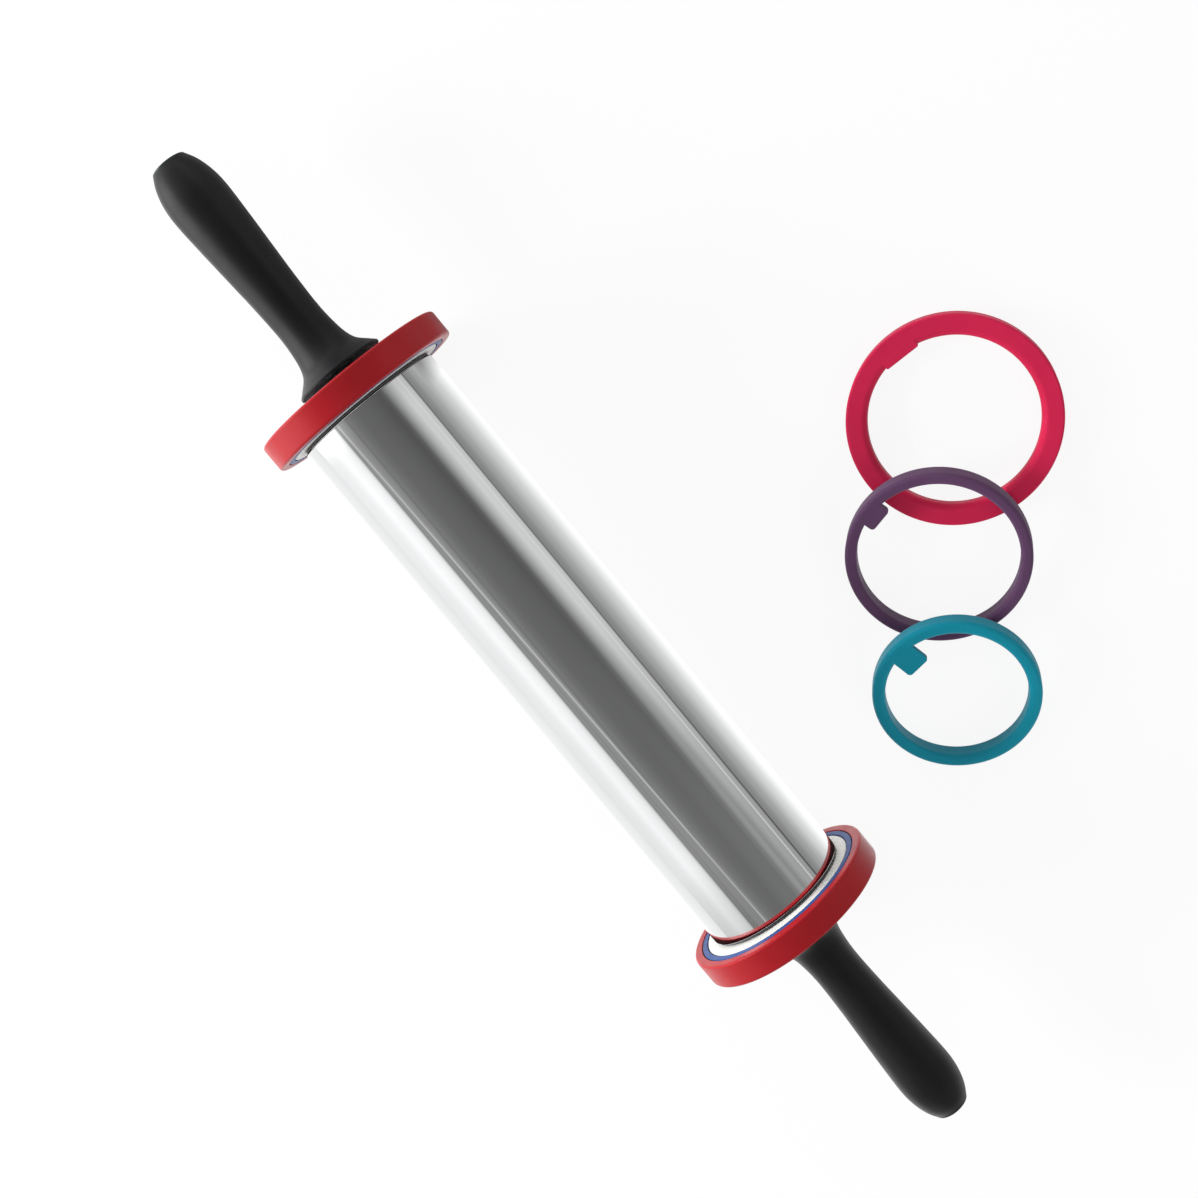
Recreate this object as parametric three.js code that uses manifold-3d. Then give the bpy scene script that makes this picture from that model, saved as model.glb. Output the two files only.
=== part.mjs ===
// Adjustable rolling pin with nested thickness rings, and three loose rings laid beside it.
// Millimetres, +Z up. The table is z = 0, the pin's axis runs along X.
import * as THREE from "three";
import { mergeVertices } from "three/addons/utils/BufferGeometryUtils.js";
import Module from "manifold-3d";

const wasm = await Module();
wasm.setup();

// Clearances
const SEAT_GAP = 0.3; // between pieces that seat in or on each other
const RACE_GAP = 0.22; // between a ball and the bottom of its groove
const CUT_OVERRUN = 1.0; // how far a cut runs past the piece it cuts
const FINE_EDGE = 0.95; // an edge rounded by more than this gets two facets

// Facets round each kind of piece, and steps of the curved outlines
const RING_FACETS = 36;
const HUB_FACETS = 20;
const GRIP_FACETS = 18;
const BEARING_FACETS = 16;
const SHAFT_FACETS = 12;
const NUT_SIDES = 6;
const BALL_FACETS = 7;
const BALL_BANDS = 5;
const POCKET_FACETS = 8;
const GROOVE_STEPS = 3;
const DOME_STEPS = 4;
const TAB_CORNER_STEPS = 3;
const CLIP_STEPS = 10;

// Barrel: a polished steel tube
const BARREL_RADIUS = 28.0;
const BARREL_WALL = 1.2;
const BARREL_LENGTH = 226.6;
const BARREL_END_BEVEL = 0.4;

// Thickness rings on the pin: each gauge is the dough's thickness that the ring leaves
const RED_GAUGE = 10.0;
const BLUE_GAUGE = 6.2;
const CREAM_GAUGE = 3.65;
const PIN_RING_WIDTH = 10.0;
const RED_EDGE_RADIUS = 1.0;
const PLAIN_EDGE_RADIUS = 0.45;

// Tab on a ring's outer face, which keys it to the piece inside it
const TAB_WIDTH = 9.6;
const TAB_THICKNESS = 2.2;
const TAB_CORNER = 1.4;
const CREAM_TAB_REACH = 7.0;
const BLUE_TAB_SHARE = 0.62; // of the cream ring's wall
const RED_TAB_SHARE = 0.58; // of the blue ring's wall

// End hub: closes the barrel, carries the rings outside and the bearing inside
const SEAT_DEPTH = 2.8; // the rings' seat, below the barrel's surface
const SEAT_LEAD_IN = 0.6;
const HUB_FLANGE_THICKNESS = 0.6;
const HUB_FLANGE_DEPTH = 0.7; // below the barrel's surface
const HUB_PLUG_LENGTH = 20.0;
const HUB_WALL = 2.5;
const HUB_WEB = 3.0;
const HUB_SHOULDER = 2.5; // how far the web reaches in past the bearing's rim
const HUB_RIM = 3.7; // round the dish in its outer face
const HUB_BOSS_WALL = 1.4; // round the bearing's cover
const HUB_RIB_COUNT = 6;
const HUB_RIB_THICKNESS = 1.6;
const HUB_RIB_DEPTH = 9.0;
const COVER_LAP = 1.9; // past the bearing's rim
const COVER_THICKNESS = 1.5;
const COVER_BORE_CLEARANCE = 0.6;

// Deep-groove ball bearing in each hub
const BEARING_RADIUS = 11.0;
const BEARING_WIDTH = 7.0;
const BEARING_BEVEL = 0.4;
const BALL_COUNT = 7;
const RACE_WALL = 1.295; // of the outer ring, under the groove
const LAND_SHARE = 0.705; // of a ball's radius, from the balls' circle to a ring's shoulder
const CAGE_CLEARANCE = 0.65;
const CAGE_INSET = 0.5;
const POCKET_CLEARANCE = 0.35;

// Axle, its clips, spacers, washers and nuts
const AXLE_RADIUS = 4.0;
const STUD_STEP = 1.0;
const STUD_PROUD = 3.6; // past the nut
const STUD_LEAD_IN = 0.6;
const CLIP_GROOVE_DEPTH = 1.0;
const CLIP_THICKNESS = 1.0;
const CLIP_REACH = 2.0; // past the axle's surface
const CLIP_MOUTH_ANGLE = THREE.MathUtils.degToRad(50);
const SPACER_WALL = 1.7;
const WASHER_THICKNESS = 1.0;
const NUT_FLATS = 10.0;
const NUT_HEIGHT = 5.0;

// Handle: a hard core in a soft grip, closed by a plug
const HANDLE_GAP = 3.7; // from the rings' outer face to the flare
const CORE_WALL = 0.85; // round the nut's well
const CORE_FLANGE_THICKNESS = 1.6;
const CORE_RIB_HEIGHT = 0.8;
const CORE_RIB_WIDTH = 3.0;
const CORE_RIB_COUNT = 2;
const GRIP_WALL = 1.7; // at the neck
const FLARE_RISE = 8.1; // from the neck's radius to the flare's
const FLARE_RIM = 4.65; // round the core's flange
const FLARE_LIP = 0.9;
const FLARE_LENGTH = 22.0;
const SWELL_RISE = 2.35; // from the neck's radius to the thickest place's
const SWELL_DISTANCE = 52.0; // from the neck to the thickest place
const END_DOME_LENGTH = 20.6;
const GRIP_END_WALL = 1.03; // round the plug's stem
const GRIP_END_LIP = 3.0;
const PLUG_STEM_LENGTH = 9.0;
const PLUG_STEM_LEAD_IN = 0.6;
const PLUG_HEAD_THICKNESS = 3.4;
const PLUG_TO_STUD = 3.1;

// The grip's outside and the plug's dome, as shares of their length and of their change of radius
const FLARE_SHARES = [
  [0.09, 0.75],
  [0.25, 0.34],
  [0.42, 0.16],
  [0.68, 0.05],
];
const SWELL_SHARES = [
  [0.25, 0.15],
  [0.5, 0.46],
  [0.75, 0.78],
];
const PLUG_SHARES = [
  [0.95, 0.3],
  [0.7, 0.74],
  [0.35, 0.95],
];

// Loose rings, and where they lie on the table from the middle of the pin's axis
const LOOSE_RING_WIDTH = 8.0;
const EDGE_SINK_SHARE = 0.18; // how far a leaning ring sinks on its rounded low edge

const CRIMSON_RADIUS = 37.0;
const CRIMSON_WALL = 7.5;
const CRIMSON_EDGE = 0.9;
const CRIMSON_INNER_EDGE = 2.4;
const CRIMSON_TAB_WIDTH = 13.3;
const CRIMSON_TAB_REACH = 1.3;
const CRIMSON_ALONG = 18.8;
const CRIMSON_ACROSS = 150.1;
const CRIMSON_TAB_AZIMUTH = THREE.MathUtils.degToRad(180.5);

const PURPLE_RADIUS = 32.5;
const PURPLE_WALL = 4.2;
const PURPLE_EDGE = 1.5;
const PURPLE_TAB_WIDTH = 9.6;
const PURPLE_TAB_REACH = 3.9;
const PURPLE_ALONG = 53.0;
const PURPLE_ACROSS = 118.0;
const PURPLE_TAB_AZIMUTH = THREE.MathUtils.degToRad(195.5);

const TEAL_RADIUS = 30.0;
const TEAL_WALL = 4.7;
const TEAL_EDGE = 1.7;
const TEAL_TAB_WIDTH = 9.6;
const TEAL_TAB_REACH = 7.6;
const TEAL_ALONG = 97.3;
const TEAL_ACROSS = 92.7;
const TEAL_TAB_AZIMUTH = THREE.MathUtils.degToRad(190.9);

const LOOSE_RINGS = [
  {
    name: "loose_crimson_ring",
    outer: CRIMSON_RADIUS,
    bore: CRIMSON_RADIUS - CRIMSON_WALL,
    edge: CRIMSON_EDGE,
    innerEdge: CRIMSON_INNER_EDGE,
    tabWidth: CRIMSON_TAB_WIDTH,
    tabReach: CRIMSON_TAB_REACH,
    along: CRIMSON_ALONG,
    across: CRIMSON_ACROSS,
    tabAzimuth: CRIMSON_TAB_AZIMUTH,
    color: 0xc82650,
  },
  {
    name: "loose_purple_ring",
    outer: PURPLE_RADIUS,
    bore: PURPLE_RADIUS - PURPLE_WALL,
    edge: PURPLE_EDGE,
    innerEdge: PURPLE_EDGE,
    tabWidth: PURPLE_TAB_WIDTH,
    tabReach: PURPLE_TAB_REACH,
    along: PURPLE_ALONG,
    across: PURPLE_ACROSS,
    tabAzimuth: PURPLE_TAB_AZIMUTH,
    color: 0x5a3e5f,
  },
  {
    name: "loose_teal_ring",
    outer: TEAL_RADIUS,
    bore: TEAL_RADIUS - TEAL_WALL,
    edge: TEAL_EDGE,
    innerEdge: TEAL_EDGE,
    tabWidth: TEAL_TAB_WIDTH,
    tabReach: TEAL_TAB_REACH,
    along: TEAL_ALONG,
    across: TEAL_ACROSS,
    tabAzimuth: TEAL_TAB_AZIMUTH,
    color: 0x1487a0,
  },
];

// Radii that follow from the sizes above
const redRadius = BARREL_RADIUS + RED_GAUGE;
const blueRadius = BARREL_RADIUS + BLUE_GAUGE;
const creamRadius = BARREL_RADIUS + CREAM_GAUGE;
const barrelBore = BARREL_RADIUS - BARREL_WALL;
const seatRadius = BARREL_RADIUS - SEAT_DEPTH;
const flangeRadius = BARREL_RADIUS - HUB_FLANGE_DEPTH;
const dishRadius = seatRadius - HUB_RIM;
const dishDepth = TAB_THICKNESS + SEAT_GAP;
const shoulderRadius = BEARING_RADIUS - HUB_SHOULDER;
const coverRadius = BEARING_RADIUS + COVER_LAP;
const bossRadius = coverRadius + SEAT_GAP + HUB_BOSS_WALL;
const creamBore = seatRadius + SEAT_GAP;
const blueBore = creamRadius + SEAT_GAP;
const redBore = blueRadius + SEAT_GAP;
const blueTabReach = (creamRadius - creamBore) * BLUE_TAB_SHARE;
const redTabReach = (blueRadius - blueBore) * RED_TAB_SHARE;
const pitchRadius = (BEARING_RADIUS + AXLE_RADIUS) / 2;
const ballRadius = (BEARING_RADIUS - AXLE_RADIUS) / 2 - RACE_WALL - RACE_GAP;
const landHeight = ballRadius * LAND_SHARE;
const outerLand = pitchRadius + landHeight;
const innerLand = pitchRadius - landHeight;
const cageThickness = 2 * (landHeight - CAGE_CLEARANCE);
const cageWidth = BEARING_WIDTH - 2 * CAGE_INSET;
const boreRadius = AXLE_RADIUS + SEAT_GAP;
const studRadius = AXLE_RADIUS - STUD_STEP;
const grooveRadius = AXLE_RADIUS - CLIP_GROOVE_DEPTH;
const clipRadius = AXLE_RADIUS + CLIP_REACH;
const spacerRadius = boreRadius + SPACER_WALL;
const wellRadius = NUT_FLATS / Math.sqrt(3) + SEAT_GAP;
const washerRadius = wellRadius - SEAT_GAP;
const coreRadius = wellRadius + CORE_WALL;
const neckRadius = coreRadius + SEAT_GAP + GRIP_WALL;
const flareRadius = neckRadius + FLARE_RISE;
const swellRadius = neckRadius + SWELL_RISE;
const coreFlangeRadius = flareRadius - FLARE_RIM;
const gripEndRadius = wellRadius + GRIP_END_WALL;

// Places along the axis, measured from the barrel's middle
const barrelEnd = BARREL_LENGTH / 2;
const flangeInner = barrelEnd + SEAT_GAP;
const flangeOuter = flangeInner + HUB_FLANGE_THICKNESS;
const ringInnerFace = flangeOuter + SEAT_GAP;
const ringOuterFace = ringInnerFace + PIN_RING_WIDTH;
const bearingInner = ringInnerFace;
const bearingOuter = bearingInner + BEARING_WIDTH;
const bearingMiddle = bearingInner + BEARING_WIDTH / 2;
const coverInner = bearingOuter + SEAT_GAP;
const handleBase = ringOuterFace + HANDLE_GAP;
const neckPlace = handleBase + FLARE_LENGTH;
const swellPlace = neckPlace + SWELL_DISTANCE;
const domePlace = swellPlace + END_DOME_LENGTH * Math.sqrt(1 - (gripEndRadius / swellRadius) ** 2);
const coreEnd = domePlace - GRIP_END_LIP - SEAT_GAP;
const plugSeat = domePlace + SEAT_GAP;
const stemEnd = plugSeat - PLUG_STEM_LENGTH;
const studEnd = stemEnd - PLUG_TO_STUD;
const nutOuter = studEnd - STUD_PROUD;
const nutInner = nutOuter - NUT_HEIGHT;
const washerInner = nutInner - SEAT_GAP - WASHER_THICKNESS;
const washerSeat = washerInner - SEAT_GAP;
const studStart = washerSeat - SEAT_GAP;

const tabUp = Math.PI; // the tabs on the pin point to the sky: there an end's own -X is up

const steel = (color, roughness) => new THREE.MeshStandardMaterial({ color, roughness, metalness: 1 });
const plastic = (color, roughness) => new THREE.MeshStandardMaterial({ color, roughness, metalness: 0 });
const polishedSteel = steel(0xe2e2e0, 0.06);
const brightSteel = steel(0xc8c8c6, 0.25);
const blackPlastic = plastic(0x1a1a1c, 0.5);
const softBlack = plastic(0x1c1c1e, 0.62);
const plugGreen = plastic(0x16302c, 0.35);
const cagePlastic = plastic(0xb9a57a, 0.6);

// A closed or axis-to-axis outline of [radius, place] points, turned round the Z axis
function revolve(outline, facets) {
  let area = 0;
  outline.forEach(([r, z], i) => {
    const [nextR, nextZ] = outline[(i + 1) % outline.length];
    area += r * nextZ - nextR * z;
  });
  const points = (area > 0 ? outline : [...outline].reverse()).map(([r, z]) => new THREE.Vector2(r, z));
  const onAxis = points[0].x === 0 && points[points.length - 1].x === 0;
  if (!onAxis) points.push(points[0].clone());
  const geometry = new THREE.LatheGeometry(points, facets, Math.PI / facets);
  return geometry.rotateX(Math.PI / 2);
}

// A quarter round from one direction to the next, as outline points round a centre
function corner(centreR, centreZ, radius, startAngle) {
  if (radius === 0) return [[centreR, centreZ]];
  const steps = radius > FINE_EDGE ? 2 : 1;
  const points = [];
  for (let i = 0; i <= steps; i++) {
    const angle = startAngle + ((Math.PI / 2) * i) / steps;
    points.push([centreR + radius * Math.cos(angle), centreZ + radius * Math.sin(angle)]);
  }
  return points;
}

function toSolid(geometry) {
  const bare = geometry.clone();
  bare.deleteAttribute("normal");
  bare.deleteAttribute("uv");
  const merged = mergeVertices(bare);
  return new wasm.Manifold(
    new wasm.Mesh({
      numProp: 3,
      vertProperties: merged.attributes.position.array,
      triVerts: new Uint32Array(merged.index.array),
    }),
  );
}

function toGeometry(solid) {
  const mesh = solid.getMesh();
  const places = new Float32Array(mesh.vertProperties);
  const geometry = new THREE.BufferGeometry();
  geometry.setAttribute("position", new THREE.BufferAttribute(places, mesh.numProp));
  geometry.setIndex(new THREE.BufferAttribute(new Uint32Array(mesh.triVerts), 1));
  geometry.computeVertexNormals();
  return geometry;
}

function piece(name, geometry, material) {
  const mesh = new THREE.Mesh(geometry, material);
  mesh.name = name;
  return mesh;
}

// A flat plate between two radii, lying under the plane z = top, with its inner corners rounded
function tabPlate(innerRadius, outerRadius, width, thickness, rounding, top, azimuth) {
  const half = width / 2;
  const shape = new THREE.Shape();
  shape.moveTo(outerRadius, -half);
  shape.lineTo(outerRadius, half);
  shape.lineTo(innerRadius + rounding, half);
  shape.quadraticCurveTo(innerRadius, half, innerRadius, half - rounding);
  shape.lineTo(innerRadius, -half + rounding);
  shape.quadraticCurveTo(innerRadius, -half, innerRadius + rounding, -half);
  const plate = new THREE.ExtrudeGeometry(shape, {
    depth: thickness,
    bevelEnabled: false,
    curveSegments: TAB_CORNER_STEPS,
  });
  return plate.translate(0, 0, top - thickness).rotateZ(azimuth);
}

// A ring with rounded edges standing on z = 0, its tab flush with its upper face
function ringSolid({ outer, bore, width, edge, innerEdge, tabWidth, tabReach, tabAzimuth }) {
  const outline = [
    ...corner(outer - edge, edge, edge, -Math.PI / 2),
    ...corner(outer - edge, width - edge, edge, 0),
    ...corner(bore + innerEdge, width - innerEdge, innerEdge, Math.PI / 2),
    ...corner(bore + innerEdge, innerEdge, innerEdge, Math.PI),
  ];
  const body = toSolid(revolve(outline, RING_FACETS));
  const rootRadius = bore + (outer - bore) / 2;
  const rounding = Math.min(TAB_CORNER, tabReach / 2);
  const tab = tabPlate(bore - tabReach, rootRadius, tabWidth, TAB_THICKNESS, rounding, width, tabAzimuth);
  return body.add(toSolid(tab));
}

// The space for a ring's tab in the piece that the tab is keyed to
function tabNotch(bore, reach, face) {
  const inner = bore - reach - SEAT_GAP;
  const outer = bore + CUT_OVERRUN;
  const width = TAB_WIDTH + 2 * SEAT_GAP;
  const depth = TAB_THICKNESS + SEAT_GAP + CUT_OVERRUN;
  return toSolid(tabPlate(inner, outer, width, depth, TAB_CORNER / 2, face + CUT_OVERRUN, tabUp));
}

function barrelTube() {
  const bevel = BARREL_END_BEVEL;
  return revolve(
    [
      [barrelBore, -barrelEnd],
      [BARREL_RADIUS - bevel, -barrelEnd],
      [BARREL_RADIUS, -barrelEnd + bevel],
      [BARREL_RADIUS, barrelEnd - bevel],
      [BARREL_RADIUS - bevel, barrelEnd],
      [barrelBore, barrelEnd],
    ],
    RING_FACETS,
  );
}

function endHub() {
  const plugRadius = barrelBore - SEAT_GAP;
  const plugInner = flangeInner - HUB_PLUG_LENGTH;
  const wallRadius = plugRadius - HUB_WALL;
  const shoulder = bearingInner - SEAT_GAP;
  const webInner = shoulder - HUB_WEB;
  const pocketRadius = BEARING_RADIUS + SEAT_GAP;
  const dishFloor = ringOuterFace - dishDepth;
  const coverSeat = coverRadius + SEAT_GAP;
  const body = revolve(
    [
      [wallRadius, plugInner],
      [plugRadius, plugInner],
      [plugRadius, flangeInner],
      [flangeRadius, flangeInner],
      [flangeRadius, flangeOuter],
      [seatRadius, flangeOuter],
      [seatRadius, ringOuterFace - SEAT_LEAD_IN],
      [seatRadius - SEAT_LEAD_IN, ringOuterFace],
      [dishRadius, ringOuterFace],
      [dishRadius - SEAT_LEAD_IN, dishFloor],
      [bossRadius, dishFloor],
      [bossRadius, ringOuterFace],
      [coverSeat, ringOuterFace],
      [coverSeat, bearingOuter],
      [pocketRadius, bearingOuter],
      [pocketRadius, shoulder],
      [shoulderRadius, shoulder],
      [shoulderRadius, webInner],
      [wallRadius, webInner],
    ],
    HUB_FACETS,
  );
  let solid = toSolid(body).subtract(tabNotch(creamBore, CREAM_TAB_REACH, ringOuterFace));
  const ribInner = shoulderRadius + HUB_WALL;
  const ribLength = wallRadius + HUB_WALL / 2 - ribInner;
  const ribDepth = HUB_RIB_DEPTH + HUB_WEB / 2;
  for (let i = 0; i < HUB_RIB_COUNT; i++) {
    const rib = new THREE.BoxGeometry(ribLength, HUB_RIB_THICKNESS, ribDepth);
    rib.translate(ribInner + ribLength / 2, 0, webInner + HUB_WEB / 2 - ribDepth / 2);
    rib.rotateZ((2 * Math.PI * (i + 1 / 2)) / HUB_RIB_COUNT);
    solid = solid.add(toSolid(rib));
  }
  return toGeometry(solid);
}

function pinRing(outer, bore, edge, tabReach) {
  return ringSolid({
    outer,
    bore,
    width: PIN_RING_WIDTH,
    edge,
    innerEdge: 0,
    tabWidth: TAB_WIDTH,
    tabReach,
    tabAzimuth: tabUp,
  });
}

// The three rings of one end, each notched for the tab of the ring round it
function pinRings(side) {
  const cream = pinRing(creamRadius, creamBore, PLAIN_EDGE_RADIUS, CREAM_TAB_REACH);
  const blue = pinRing(blueRadius, blueBore, PLAIN_EDGE_RADIUS, blueTabReach);
  const red = pinRing(redRadius, redBore, RED_EDGE_RADIUS, redTabReach);
  const creamNotched = cream.subtract(tabNotch(blueBore, blueTabReach, PIN_RING_WIDTH));
  const blueNotched = blue.subtract(tabNotch(redBore, redTabReach, PIN_RING_WIDTH));
  const rings = [
    piece(side + "_cream_ring", toGeometry(creamNotched), plastic(0xf4f4ea, 0.4)),
    piece(side + "_blue_ring", toGeometry(blueNotched), plastic(0x4a66a6, 0.4)),
    piece(side + "_red_ring", toGeometry(red), plastic(0xc8202e, 0.35)),
  ];
  for (const ring of rings) ring.position.z = ringInnerFace;
  return rings;
}

// A bearing race's groove: from one land to the other round the balls' circle
function grooveOutline(landRadius, bottomRadius) {
  const bottom = Math.abs(bottomRadius - pitchRadius);
  const land = Math.abs(landRadius - pitchRadius);
  const side = Math.sign(landRadius - pitchRadius);
  const reach = Math.acos(land / bottom);
  const points = [];
  for (let i = 0; i <= GROOVE_STEPS; i++) {
    const angle = -reach + (2 * reach * i) / GROOVE_STEPS;
    points.push([pitchRadius + side * bottom * Math.cos(angle), bearingMiddle + bottom * Math.sin(angle)]);
  }
  return points;
}

function bearingOuterRing() {
  const groove = grooveOutline(outerLand, pitchRadius + ballRadius + RACE_GAP);
  return revolve(
    [
      [outerLand, bearingInner],
      [BEARING_RADIUS - BEARING_BEVEL, bearingInner],
      [BEARING_RADIUS, bearingInner + BEARING_BEVEL],
      [BEARING_RADIUS, bearingOuter - BEARING_BEVEL],
      [BEARING_RADIUS - BEARING_BEVEL, bearingOuter],
      [outerLand, bearingOuter],
      ...groove.reverse(),
    ],
    BEARING_FACETS,
  );
}

function bearingInnerRing() {
  const groove = grooveOutline(innerLand, pitchRadius - ballRadius - RACE_GAP);
  return revolve(
    [
      [boreRadius, bearingInner],
      [innerLand, bearingInner],
      ...groove,
      [innerLand, bearingOuter],
      [boreRadius, bearingOuter],
    ],
    BEARING_FACETS,
  );
}

function ballCentre(i) {
  const angle = (2 * Math.PI * i) / BALL_COUNT;
  return [pitchRadius * Math.cos(angle), pitchRadius * Math.sin(angle), bearingMiddle];
}

function bearingBalls(side) {
  const balls = [];
  const sphere = new THREE.SphereGeometry(ballRadius, BALL_FACETS, BALL_BANDS);
  for (let i = 0; i < BALL_COUNT; i++) {
    const ball = piece(side + "_ball_" + (i + 1), sphere, polishedSteel);
    ball.position.set(...ballCentre(i));
    balls.push(ball);
  }
  return balls;
}

function ballCage() {
  const inner = pitchRadius - cageThickness / 2;
  const outer = pitchRadius + cageThickness / 2;
  const low = bearingMiddle - cageWidth / 2;
  const high = bearingMiddle + cageWidth / 2;
  const band = [
    [inner, low],
    [outer, low],
    [outer, high],
    [inner, high],
  ];
  const pocketRadius = ballRadius + POCKET_CLEARANCE;
  let cage = toSolid(revolve(band, 2 * BALL_COUNT));
  for (let i = 0; i < BALL_COUNT; i++) {
    const pocket = sleeve(0, pocketRadius, inner - CUT_OVERRUN, outer + CUT_OVERRUN, POCKET_FACETS);
    pocket.rotateY(Math.PI / 2);
    pocket.translate(0, 0, bearingMiddle);
    pocket.rotateZ((2 * Math.PI * i) / BALL_COUNT);
    cage = cage.subtract(toSolid(pocket));
  }
  return toGeometry(cage);
}

function bearingCover() {
  const bore = spacerRadius + COVER_BORE_CLEARANCE;
  const outerFace = coverInner + COVER_THICKNESS;
  return revolve(
    [
      [bore, coverInner],
      [coverRadius, coverInner],
      [coverRadius, outerFace - SEAT_GAP],
      [coverRadius - SEAT_GAP, outerFace],
      [bore, outerFace],
    ],
    BEARING_FACETS,
  );
}

function axleRod() {
  const grooveOuter = bearingInner;
  const grooveInner = grooveOuter - 2 * SEAT_GAP - CLIP_THICKNESS;
  const half = [
    [AXLE_RADIUS, grooveInner],
    [grooveRadius, grooveInner],
    [grooveRadius, grooveOuter],
    [AXLE_RADIUS, grooveOuter],
    [AXLE_RADIUS, studStart],
    [studRadius, studStart],
    [studRadius, studEnd - STUD_LEAD_IN],
    [studRadius - STUD_LEAD_IN, studEnd],
    [0, studEnd],
  ];
  const mirrored = half.map(([r, z]) => [r, -z]).reverse();
  return revolve([...mirrored, ...half], SHAFT_FACETS);
}

// A snap ring in the axle's groove, open on one side
function axleClip() {
  const inner = grooveRadius + SEAT_GAP;
  const start = CLIP_MOUTH_ANGLE / 2;
  const end = 2 * Math.PI - start;
  const shape = new THREE.Shape();
  shape.absarc(0, 0, clipRadius, start, end, false);
  shape.absarc(0, 0, inner, end, start, true);
  const clip = new THREE.ExtrudeGeometry(shape, {
    depth: CLIP_THICKNESS,
    bevelEnabled: false,
    curveSegments: CLIP_STEPS,
  });
  return clip.translate(0, 0, bearingInner - SEAT_GAP - CLIP_THICKNESS);
}

function sleeve(inner, outer, low, high, facets) {
  const outline = [
    [inner, low],
    [outer, low],
    [outer, high],
    [inner, high],
  ];
  return revolve(outline, facets);
}

function hexNut() {
  const corners = NUT_FLATS / Math.sqrt(3);
  const nut = toSolid(sleeve(0, corners, nutInner, nutOuter, NUT_SIDES));
  const holeInner = nutInner - CUT_OVERRUN;
  const holeOuter = nutOuter + CUT_OVERRUN;
  const hole = sleeve(0, studRadius + SEAT_GAP, holeInner, holeOuter, SHAFT_FACETS);
  return toGeometry(nut.subtract(toSolid(hole)));
}

// The core's ribs, which hold the grip, seen from a clearance outside them
function ribOutline(clearance) {
  const points = [];
  const pitch = (coreEnd - neckPlace) / CORE_RIB_COUNT;
  const root = CORE_RIB_WIDTH / 2 + clearance;
  const crest = root - CORE_RIB_HEIGHT / 2;
  for (let i = 0; i < CORE_RIB_COUNT; i++) {
    const middle = neckPlace + pitch * (i + 1 / 2);
    points.push([coreRadius + clearance, middle - root]);
    points.push([coreRadius + CORE_RIB_HEIGHT + clearance, middle - crest]);
    points.push([coreRadius + CORE_RIB_HEIGHT + clearance, middle + crest]);
    points.push([coreRadius + clearance, middle + root]);
  }
  return points;
}

function handleCore() {
  return revolve(
    [
      [boreRadius, handleBase],
      [coreFlangeRadius, handleBase],
      [coreFlangeRadius, handleBase + CORE_FLANGE_THICKNESS],
      [coreRadius, handleBase + CORE_FLANGE_THICKNESS],
      ...ribOutline(0),
      [coreRadius, coreEnd],
      [wellRadius, coreEnd],
      [wellRadius, washerSeat],
      [boreRadius, washerSeat],
    ],
    SHAFT_FACETS,
  );
}

// The stretch of an outline from one point to another, bent by shares of its length and rise
function bentStretch([startR, startZ], [endR, endZ], shares) {
  const rise = endR - startR;
  const length = endZ - startZ;
  return shares.map(([along, across]) => [startR + rise * across, startZ + length * along]);
}

function gripOutside() {
  const lip = [flareRadius, handleBase + FLARE_LIP];
  const neck = [neckRadius, neckPlace];
  const swell = [swellRadius, swellPlace];
  const flareShares = FLARE_SHARES.map(([along, height]) => [along, 1 - height]);
  const dome = [];
  const openAngle = Math.acos(gripEndRadius / swellRadius);
  for (let i = 1; i <= DOME_STEPS; i++) {
    const angle = (openAngle * i) / DOME_STEPS;
    dome.push([swellRadius * Math.cos(angle), swellPlace + END_DOME_LENGTH * Math.sin(angle)]);
  }
  return [
    [flareRadius, handleBase],
    lip,
    ...bentStretch(lip, neck, flareShares),
    neck,
    ...bentStretch(neck, swell, SWELL_SHARES),
    swell,
    ...dome,
  ];
}

function handleGrip() {
  const coreSeat = coreRadius + SEAT_GAP;
  const lipInner = domePlace - GRIP_END_LIP;
  const recessFloor = handleBase + CORE_FLANGE_THICKNESS + SEAT_GAP;
  return revolve(
    [
      ...gripOutside(),
      [wellRadius, domePlace],
      [wellRadius, lipInner],
      [coreSeat, lipInner],
      ...ribOutline(SEAT_GAP).reverse(),
      [coreSeat, recessFloor],
      [coreFlangeRadius + SEAT_GAP, recessFloor],
      [coreFlangeRadius + SEAT_GAP, handleBase],
    ],
    GRIP_FACETS,
  );
}

function endPlug() {
  const stem = wellRadius - SEAT_GAP;
  const dome = PLUG_SHARES.map(([radius, height]) => [
    gripEndRadius * radius,
    plugSeat + PLUG_HEAD_THICKNESS * height,
  ]);
  return revolve(
    [
      [0, stemEnd],
      [stem - PLUG_STEM_LEAD_IN, stemEnd],
      [stem, stemEnd + PLUG_STEM_LEAD_IN],
      [stem, plugSeat],
      [gripEndRadius, plugSeat],
      ...dome,
      [0, plugSeat + PLUG_HEAD_THICKNESS],
    ],
    GRIP_FACETS,
  );
}

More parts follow.
